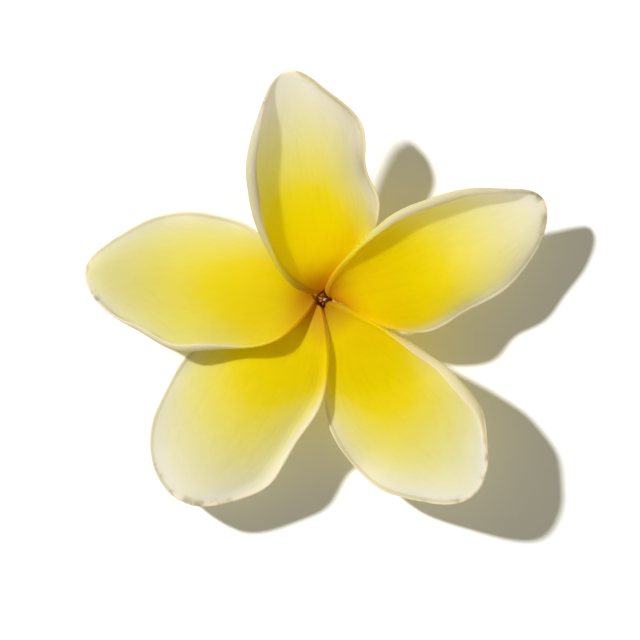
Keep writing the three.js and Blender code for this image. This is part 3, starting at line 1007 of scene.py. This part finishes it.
@dataclass(frozen=True)
class BladeRelief:
    """Thickness and relief of a petal's blade. Millimetres; places along are fractions of the length."""

    thickness: float = 0.56
    rim_thickness: float = 0.4
    rim_reach: float = 3.5  # over which the blade thins towards its rim
    rim_round: float = 0.22
    foot_start: float = 0.05
    foot_reach: float = 0.26  # where the foot has thinned to the blade
    vein_relief: float = 0.025
    veins: float = 8.0  # on each side
    vein_width: float = 0.1  # in shares of the space between veins
    vein_sway: float = 2.2  # how far they wander, in spaces between veins
    sway_along: float = 2.6  # how often, along and across
    sway_across: float = 3.0
    vein_end: tuple = (0.97, 0.8)
    vein_rim: tuple = (0.3, 2.0)  # beside the rim
    fork: float = 0.42  # where each vein has forked
    branch_width: float = 0.07
    branch_strength: float = 0.7
    branch_from: tuple = (0.25, 0.5)
    wave_height: float = 0.12
    wave_length: float = 7.0
    wave_from: tuple = (0.08, 0.3)

    def tree(self) -> Tree:
        """Builds the tree that turns a middle surface into a closed blade with veins.

        Returns:
            The Geometry Nodes tree.
        """
        tree, start, end = new_tree(
            "petal blade",
            {
                "Thickness": self.thickness,
                "Rim Thickness": self.rim_thickness,
                "Rim Reach": self.rim_reach,
                "Rim Round": self.rim_round,
                "Foot Thickness": self.thickness,
                "Foot Reach": self.foot_reach,
                "Vein Relief": self.vein_relief,
                "Veins": self.veins,
                "Fork": self.fork,
                "Wave Height": self.wave_height,
                "Wave Length": self.wave_length,
            },
        )
        sizes = start.outputs
        along, side, edge = (named_value(tree, name) for name in ("along", "side", "edge"))
        seed = times(tree, sizes["Seed"], 0.37)
        half = self.half_thickness(tree, sizes, along, edge)
        vein = self.vein(tree, sizes, along, side, edge, seed)
        ridge = times(tree, vein, sizes["Vein Relief"], MM)
        wave = self.wave(tree, sizes, along, seed)
        normal = put(tree, "GeometryNodeInputNormal")
        joined = put(tree, "GeometryNodeJoinGeometry")
        for above in (True, False):
            if above:  # a shallow furrow over each vein
                lift = maths(tree, "MULTIPLY_ADD", ridge, -0.5, half)
                height = maths(tree, "ADD", wave, lift)
            else:  # the vein itself stands out below
                height = maths(tree, "SUBTRACT", wave, maths(tree, "ADD", ridge, half))
            offset = put(tree, "ShaderNodeVectorMath", {0: normal, "Scale": height}, operation="SCALE")
            lined = store(tree, sizes["Geometry"], "vein", vein)
            moved = put(tree, "GeometryNodeSetPosition", {"Geometry": lined, "Offset": offset})
            face = store(tree, moved, "face", 1.0 if above else 0.0)
            turned = face if above else put(tree, "GeometryNodeFlipFaces", [face])
            tree.links.new(turned.outputs[0], joined.inputs[0])
        closed = put(tree, "GeometryNodeMergeByDistance", {"Geometry": joined, "Distance": 1e-7})
        close_tree(tree, closed, start, end)
        return tree

    def half_thickness(self, tree: Tree, sizes: Sockets, along: Socket, edge: Socket) -> Socket:
        """Half thickness of the blade: a round rim, a thinner band inside it and a fleshy foot.

        Args:
            tree: The blade tree.
            sizes: Its named sizes.
            along: Fraction of the length.
            edge: Distance from the outline.

        Returns:
            The half thickness in metres.
        """
        depth = put(tree, "ShaderNodeMapRange", [edge, 0.0, sizes["Rim Round"], 1.0, 0.0]).outputs[0]
        rounding = maths(tree, "SQRT", maths(tree, "SUBTRACT", 1.0, times(tree, depth, depth)))
        body = eased(tree, edge, 0.0, sizes["Rim Reach"], sizes["Rim Thickness"], sizes["Thickness"])
        fleshy = eased(tree, along, self.foot_start, sizes["Foot Reach"], 1.0, 0.0)
        feeds = {0: fleshy, 2: body, 3: sizes["Foot Thickness"]}
        footed = put(tree, "ShaderNodeMix", feeds, data_type="FLOAT")
        return times(tree, maths(tree, "MULTIPLY", rounding, footed), 0.5 * MM)

    def vein(
        self, tree: Tree, sizes: Sockets, along: Socket, side: Socket, edge: Socket, seed: Socket
    ) -> Socket:
        """Veins: lines at even shares of the width, twice as many past the fork, that wander a little.

        Args:
            tree: The blade tree.
            sizes: Its named sizes.
            along: Fraction of the length.
            side: Fraction across.
            edge: Distance from the outline.
            seed: Number that sets one petal's veins apart.

        Returns:
            Strength of the vein at each place, from 0 to 1.
        """
        where = [times(tree, along, self.sway_along), times(tree, side, self.sway_across), seed]
        sway = times(tree, noise(tree, put(tree, "ShaderNodeCombineXYZ", where), 1.0, 1.0), self.vein_sway)
        lane = maths(tree, "ADD", times(tree, side, sizes["Veins"]), sway)
        first = maths(tree, "PINGPONG", lane, 0.5)
        main = eased(tree, first, 0.0, self.vein_width, 1.0, 0.0)
        opened = put(tree, "ShaderNodeMapRange", [along, sizes["Fork"], 0.8, 0.5, 0.25])
        apart = maths(tree, "ABSOLUTE", maths(tree, "SUBTRACT", first, opened))
        branch = eased(tree, apart, 0.0, self.branch_width, self.branch_strength, 0.0)
        branches = times(tree, branch, eased(tree, along, *self.branch_from))
        lasting = times(tree, eased(tree, along, *self.vein_end), eased(tree, edge, *self.vein_rim))
        return times(tree, maths(tree, "MAXIMUM", main, branches), lasting)

    def wave(self, tree: Tree, sizes: Sockets, along: Socket, seed: Socket) -> Socket:
        """Slow waves of the whole blade, none at the throat.

        Args:
            tree: The blade tree.
            sizes: Its named sizes.
            along: Fraction of the length.
            seed: Number that sets one petal's waves apart.

        Returns:
            How far the wave lifts each place, in metres.
        """
        scale = maths(tree, "DIVIDE", 1 / MM, sizes["Wave Length"])
        place = put(tree, "GeometryNodeInputPosition")
        feeds = {"Vector": place, "Scale": scale, "W": seed, "Detail": 1.0}
        swell = put(tree, "ShaderNodeTexNoise", feeds, noise_dimensions="4D")
        centred = maths(tree, "SUBTRACT", swell, 0.5)
        free = eased(tree, along, *self.wave_from, 0.0, 2 * MM)
        return times(tree, centred, times(tree, free, sizes["Wave Height"]))


# ---- Tube, stamens and hairs ----


@dataclass
class Tube:
    """Corolla tube: a flared shoulder under the petals, then a slender wall that bends away."""

    throat: Throat
    bore: float = 1.15
    radius: float = 1.9
    rim_radius: float = 2.6
    rim_bore: float = 1.35
    top: float = 1.0  # depth of the shoulder below the throat
    rim_depth: float = 2.0
    length: float = 10.2
    end_lean: float = 70.0
    flute: float = 0.06  # of the five shallow flutes outside
    brow: float = 0.25  # rise of the rim between its bore and its outside
    sides: int = 90
    steps: int = 60

    def frame(self, depth: float) -> tuple[np.ndarray, np.ndarray, np.ndarray]:
        """Centre line at a depth.

        Args:
            depth: Along the centre line from the throat, mm.

        Returns:
            Place, the axis that leans outwards and the axis sideways.
        """
        start = self.throat.lean * DEGREE
        turn = (self.end_lean - self.throat.lean) * DEGREE / self.length
        lean = start + turn * depth
        angle = self.throat.heading * DEGREE
        heading = np.array([math.cos(angle), math.sin(angle), 0])
        up = np.array([0.0, 0.0, 1.0])
        outwards = heading * (math.cos(start) - math.cos(lean)) / turn
        place = outwards - up * (math.sin(lean) - math.sin(start)) / turn
        return place, heading * math.cos(lean) + up * math.sin(lean), np.cross(up, heading)

    def beside(self, depth: float, distance: float, angle: float) -> np.ndarray:
        """Place beside the centre line.

        Args:
            depth: Along the centre line, mm.
            distance: From it, mm.
            angle: Round it, radians.

        Returns:
            The place, mm.
        """
        place, outward, sideways = self.frame(depth)
        return place + distance * (outward * math.cos(angle) + sideways * math.sin(angle))

    def profile(self) -> list[tuple[float, float, float]]:
        """Outline of the wall, from the shoulder down and back up the bore.

        Returns:
            Radius, depth and wall mark, 1 outside and 0 inside, of each ring.
        """
        foot = self.top + self.rim_depth
        round_off, narrow, gape = 0.08, self.radius - self.rim_radius, self.rim_bore - self.bore
        shoulder = [(t, math.sin(math.pi / 2 * t)) for t in np.linspace(0, 1, 14)]
        outer = [(self.rim_radius + narrow * s, self.top + self.rim_depth * t, 1.0) for t, s in shoulder]
        depths = np.linspace(foot, self.length - 0.15, self.steps)
        outer += [(self.radius, depth, 1.0) for depth in depths[1:]]
        low = self.length - 0.04
        end = [
            (self.radius - round_off, low, 1.0),
            ((self.radius + self.bore) / 2, self.length, 0.5),
            (self.bore + round_off, low, 0.0),
        ]
        inner = [(self.bore, depth, 0.0) for depth in depths[::-1]]
        lip = [(self.bore + gape * s, foot - self.rim_depth * t, 0.0) for t, s in shoulder[1:]]
        wide = self.rim_radius - self.rim_bore
        brow = [
            (self.rim_bore + wide * t, self.top - self.brow * math.sin(math.pi * t), 0.0)
            for t in (0.2, 0.5, 0.8)
        ]
        return outer + end + inner + lip + brow

    def build(self, skin: Material, shift: np.ndarray) -> Thing:
        """Builds the tube.

        Args:
            skin: Material.
            shift: From the middle of the throat to the frame's origin, mm.

        Returns:
            The tube's object.
        """
        profile = self.profile()
        angles = 2 * math.pi * np.arange(self.sides) / self.sides
        points = []
        for radius, depth, wall in profile:
            for angle in angles:
                flute = self.flute * math.cos(5 * angle) * wall * min(max(depth - self.top, 0) / 2, 1)
                points.append(self.beside(depth, radius - abs(flute), angle))
        faces = [[a, d, c, b] for a, b, c, d in band_faces(len(profile), self.sides, closed=True)]
        tube = mesh_object("corolla_tube_wall", (np.array(points) + shift) * MM, faces)
        _, depths, walls = np.array(profile).T
        mark(tube, "depth", np.repeat(depths, self.sides))
        mark(tube, "wall", np.repeat(walls, self.sides))
        mark(tube, "turn", np.tile(np.minimum(angles, 2 * math.pi - angles) / math.pi, len(profile)))
        tube.data.shade_smooth()
        tube.data.materials.append(skin)
        return finish_piece(tube, ("corolla_tube",))

    def hair_bed(self, name: str, high: float, low: float, shift: np.ndarray) -> Thing:
        """Part of the bore, facing inwards, for hairs to grow on.

        Args:
            name: Name of the hairs.
            high: Depth of its upper end, mm.
            low: Depth of its lower end, mm.
            shift: From the middle of the throat to the frame's origin, mm.

        Returns:
            An object that is used up by the hairs.
        """
        rings, around, furrow_shade_mask = 8, 24, 0.02
        points = [
            self.beside(depth, self.bore + furrow_shade_mask, 2 * math.pi * k / around)
            for depth in np.linspace(high, low, rings)
            for k in range(around)
        ]
        faces = band_faces(rings, around, closed=False)
        return mesh_object(name, (np.array(points) + shift) * MM, faces)


@dataclass(frozen=True)
class HairTuft:
    """Fine hairs in the throat, pointing up and out of the tube. Millimetres."""

    name: str
    skin: ThroatHair
    high: float  # depths of the band of the bore that they grow on
    low: float
    seed: int
    length: float = 0.6
    thickness: float = 0.03
    per_mm2: float = 14.0
    lift: float = 0.9  # how steeply they rise; 0 points them straight across the bore
    shortest: float = 0.5  # shares of the length
    longest: float = 1.15
    blunt: float = 0.0  # thickness of the tip, in shares of the foot's

    def tree(self) -> Tree:
        """Builds the tree that grows hairs on a surface.

        Returns:
            The Geometry Nodes tree.
        """
        lengths = {"Length": self.length * MM, "Thickness": self.thickness * MM}
        tree, start, end = new_tree("throat hairs", {**lengths, "Density": self.per_mm2 / MM**2})
        sizes = start.outputs
        feeds = {"Mesh": sizes["Geometry"], "Density": sizes["Density"], "Seed": sizes["Seed"]}
        roots = put(tree, "GeometryNodeDistributePointsOnFaces", feeds)
        tip = times(tree, sizes["Thickness"], self.blunt)
        cone = {"Vertices": 5, "Side Segments": 2, "Radius Top": tip, "Radius Bottom": sizes["Thickness"]}
        cone["Depth"] = sizes["Length"]
        hair = put(tree, "GeometryNodeMeshCone", cone)
        height = put(tree, "ShaderNodeSeparateXYZ", [put(tree, "GeometryNodeInputPosition")])
        marked = store(tree, hair, "rise", maths(tree, "DIVIDE", height.outputs[2], sizes["Length"]))
        upwards = (0.0, 0.0, self.lift)
        leaning = put(tree, "ShaderNodeVectorMath", [roots.outputs["Normal"], upwards], operation="ADD")
        aim = put(tree, "FunctionNodeAlignRotationToVector", {"Vector": leaning}, axis="Z")
        shares = {2: self.shortest, 3: self.longest, "Seed": sizes["Seed"]}
        size = put(tree, "FunctionNodeRandomValue", shares, data_type="FLOAT").outputs[1]
        feeds = {"Points": roots, "Instance": marked, "Rotation": aim, "Scale": size}
        close_tree(tree, put(tree, "GeometryNodeInstanceOnPoints", feeds), start, end)
        return tree

    def build(self, tube: Tube, shift: np.ndarray) -> Thing:
        """Grows the hairs.

        Args:
            tube: The tube that they line.
            shift: From the middle of the throat to the frame's origin, mm.

        Returns:
            The hairs' object.
        """
        bed = tube.hair_bed(self.name, self.high, self.low, shift)
        settle(bed, self.tree(), {"Material": self.skin.material(), "Seed": self.seed})
        return finish_piece(bed)


TUFTS = (
    HairTuft(
        "throat_hairs", ThroatHair("amber throat hair", "#b47820", "#c88a30"), high=1.1, low=3.2, seed=7
    ),
    # The near-white tips of this tuft are a painted highlight: the lit dot in the throat.
    HairTuft(
        "throat_tuft", ThroatHair("pale-tipped throat hair", "#a86a1c", "#fff0d8", 0.8), high=1.3, low=1.6,
        seed=3, length=2.5, thickness=0.05, lift=1.9, shortest=0.9, longest=1.0, blunt=0.9,
    ),
)


@dataclass(frozen=True)
class RodPath:
    """Round rods along lines that hold a radius at each point."""

    sides: int = 12

    def tree(self) -> Tree:
        """Builds the tree that thickens lines to rods.

        Returns:
            The Geometry Nodes tree.
        """
        tree, start, end = new_tree("rods", {})
        lines = put(tree, "GeometryNodeMeshToCurve", {"Mesh": start.outputs["Geometry"]})
        ring = put(tree, "GeometryNodeCurvePrimitiveCircle", {"Resolution": self.sides, "Radius": 1.0})
        radius = named_value(tree, "radius")
        feeds = {"Curve": lines, "Profile Curve": ring, "Scale": radius, "Fill Caps": True}
        close_tree(tree, put(tree, "GeometryNodeCurveToMesh", feeds), start, end)
        return tree


@dataclass
class Stamens:
    """Five anthers that lean together, each of two sacs on a filament, and the ring they rise from."""

    tube: Tube
    count: int = 5
    anther_top: float = 3.4
    anther_length: float = 2.6
    sac_radius: float = 0.17
    sac_apart: float = 0.1
    spread: float = 0.42
    close: float = 0.16
    filament_radius: float = 0.14
    collar_depth: float = 8.4
    collar_height: float = 0.7
    collar_radius: float = 0.82
    collar_bore: float = 0.35
    collar_sides: int = 16
    collar_around: int = 40
    sac_steps: int = 12
    filament_steps: int = 6

    def lines(self) -> tuple[np.ndarray, list, np.ndarray]:
        """Centre lines of the sacs and the filaments.

        Returns:
            Points in millimetres, edges and the radius at each point.
        """
        points, edges, radii = [], [], []
        seat = (self.collar_radius + self.collar_bore) / 2
        foot = self.anther_top + self.anther_length
        for n in range(self.count):
            angle = 2 * math.pi * n / self.count
            for sac in (-1, 1):
                for i in range(self.sac_steps + 1):
                    t = i / self.sac_steps
                    spread = self.spread + (self.close - self.spread) * t
                    apart = sac * self.sac_apart * math.sin(math.pi * (0.1 + 0.85 * t)) / max(spread, 0.2)
                    points.append(self.tube.beside(foot - self.anther_length * t, spread, angle + apart))
                    radii.append(self.sac_radius * math.sin(math.pi * (0.08 + 0.86 * t)) ** 0.7)
                    if i:
                        edges.append((len(points) - 2, len(points) - 1))
            for i in range(self.filament_steps + 1):
                t = i / self.filament_steps
                depth = self.collar_depth + 0.2 + (foot - self.anther_length / 3 - self.collar_depth) * t
                points.append(self.tube.beside(depth, seat + (self.spread - seat) * t, angle))
                radii.append(self.filament_radius * (1 - 0.3 * t))
                if i:
                    edges.append((len(points) - 2, len(points) - 1))
        return np.array(points), edges, np.array(radii)

    def collar(self) -> list[list[np.ndarray]]:
        """Points of the collar.

        Returns:
            Rings of points in millimetres, closed on themselves.
        """
        low, high = self.collar_depth, self.collar_depth + self.collar_height
        middle = (self.collar_radius + self.collar_bore) / 2
        thick = (self.collar_radius - self.collar_bore) / 2
        angles = [2 * math.pi * n / self.collar_around for n in range(self.collar_around)]
        rings = []
        for k in range(self.collar_sides):
            turn = 2 * math.pi * k / self.collar_sides
            radius = middle + thick * math.cos(turn)
            depth = (low + high) / 2 - (high - low) / 2 * math.sin(turn)
            rings.append([self.tube.beside(depth, radius, angle) for angle in angles])
        return rings

    def build(self, tree: Tree, flesh: Material, shift: np.ndarray) -> Thing:
        """Builds the stamens as one piece.

        Args:
            tree: Rod tree.
            flesh: Material.
            shift: From the middle of the throat to the frame's origin, mm.

        Returns:
            The stamens' object.
        """
        points, edges, radii = self.lines()
        rods = mesh_object("stamen_rods", (points + shift) * MM, [], edges)
        mark(rods, "radius", radii * MM)
        settle(rods, tree, {"Material": flesh})
        rings = np.array(self.collar())
        faces = band_faces(rings.shape[0], rings.shape[1], closed=True)
        collar = mesh_object("stamen_collar", (rings.reshape(-1, 3) + shift) * MM, faces)
        collar.data.shade_smooth()
        collar.data.materials.append(flesh)
        pair = {"active_object": rods, "object": rods, "selected_editable_objects": [rods, collar]}
        with bpy.context.temp_override(**pair):
            bpy.ops.object.join()
        rods.name = "stamens_ring"
        return finish_piece(rods, ("stamens",))


# ---- Studio ----


@dataclass(frozen=True)
class Studio:
    """Pale floor, one low key light, soft fill and a camera that looks straight down."""

    travel: tuple = (1.12, -0.66, -1.0)  # of the key light
    key: float = 6.1
    key_angle: float = 3.5  # how wide the key light looks, degrees
    key_colour: str = "#ffffff"
    fill: float = 0.43
    fill_colour: str = "#fff8dd"
    floor_colour: str = "#d8d8d8"
    floor_half: float = 600.0  # half of its width, mm
    floor_drop: float = 0.02  # below the blossom, mm
    view_width: float = 102.4  # of the picture at the throat, mm
    view_height: float = 600.0  # of the camera above the throat, mm
    aim: tuple = (-0.32, -3.36)  # of the picture's middle from the throat, mm

    def floor(self) -> None:
        """Lays the floor under the blossom."""
        signs = ((-1, -1), (1, -1), (1, 1), (-1, 1))
        corners = np.array([[x * self.floor_half, y * self.floor_half, -self.floor_drop] for x, y in signs])
        floor = mesh_object("floor", corners * MM, [[0, 1, 2, 3]])
        paint = bpy.data.materials.new("matt white board")
        paint.use_nodes = True
        body = paint.node_tree.nodes["Principled BSDF"]
        body.inputs["Base Color"].default_value = linear(self.floor_colour)
        body.inputs["Roughness"].default_value = 0.9
        body.inputs["Specular IOR Level"].default_value = 0.1
        floor.data.materials.append(paint)

    def lights(self) -> None:
        """Adds the key light and the fill."""
        lamp = bpy.data.lights.new("key", "SUN")
        lamp.energy = self.key
        lamp.angle = self.key_angle * DEGREE
        lamp.color = linear(self.key_colour)[:3]
        x, y, z = self.travel
        key = place_object("key", lamp)
        key.rotation_euler = (0.0, -math.atan2(math.hypot(x, y), -z), math.atan2(y, x))
        world = bpy.data.worlds.new("soft fill")
        bpy.context.scene.world = world
        world.use_nodes = True
        sky = world.node_tree.nodes["Background"]
        sky.inputs["Color"].default_value = linear(self.fill_colour)
        sky.inputs["Strength"].default_value = self.fill

    def camera(self, throat: np.ndarray) -> None:
        """Sets the camera over the throat.

        Args:
            throat: Middle of the throat, mm.
        """
        lens = bpy.data.cameras.new("overhead")
        lens.sensor_width = 36.0
        lens.lens = lens.sensor_width * self.view_height / self.view_width
        lens.clip_start = 0.01
        lens.clip_end = 10.0
        camera = place_object("overhead", lens)
        camera.location = (throat + np.array([*self.aim, self.view_height])) * MM
        bpy.context.scene.camera = camera

    def build(self, throat: np.ndarray) -> None:
        """Sets up the floor, the lights and the camera.

        Args:
            throat: Middle of the throat, mm.
        """
        self.floor()
        self.lights()
        self.camera(throat)
        scene = bpy.context.scene
        scene.view_settings.view_transform = "Standard"
        scene.cycles.use_denoising = True


def throat_place(petals: list[Petal]) -> np.ndarray:
    """Finds the middle of the throat in the frame, from the boxes of the petals' solids.

    Args:
        petals: The petals.

    Returns:
        The place, mm.
    """
    shifts = []
    for petal in petals:
        low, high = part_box(petal.form.name)
        own_low, own_high = petal.box()
        shifts += [np.array(low) / MM - own_low, np.array(high) / MM - own_high]
    spread = np.ptp(np.array(shifts), axis=0).max()
    LOG.info("petals lie on their solids within %.3f mm", spread)
    return np.mean(shifts, axis=0)


def main() -> None:
    """Builds the blossom and its studio."""
    logging.basicConfig(level=logging.INFO, format="%(message)s", stream=sys.stdout)
    throat = Throat()
    petals = [Petal(form, PetalRule(), throat) for form in FORMS]
    shift = throat_place(petals)
    Studio().build(shift)
    blade = BladeRelief().tree()
    skin = PetalSkin().material()
    for petal in petals:
        petal.build(blade, skin, shift)
    tube = Tube(throat)
    tube.build(TubeSkin().material(), shift)
    anther = DustyFlesh("plumeria anther", "#ecd9a4", "#d8b878", 0.2)
    Stamens(tube).build(RodPath().tree(), anther.material(), shift)
    for tuft in TUFTS:
        tuft.build(tube, shift)
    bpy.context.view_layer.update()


if __name__ == "__main__":
    main()
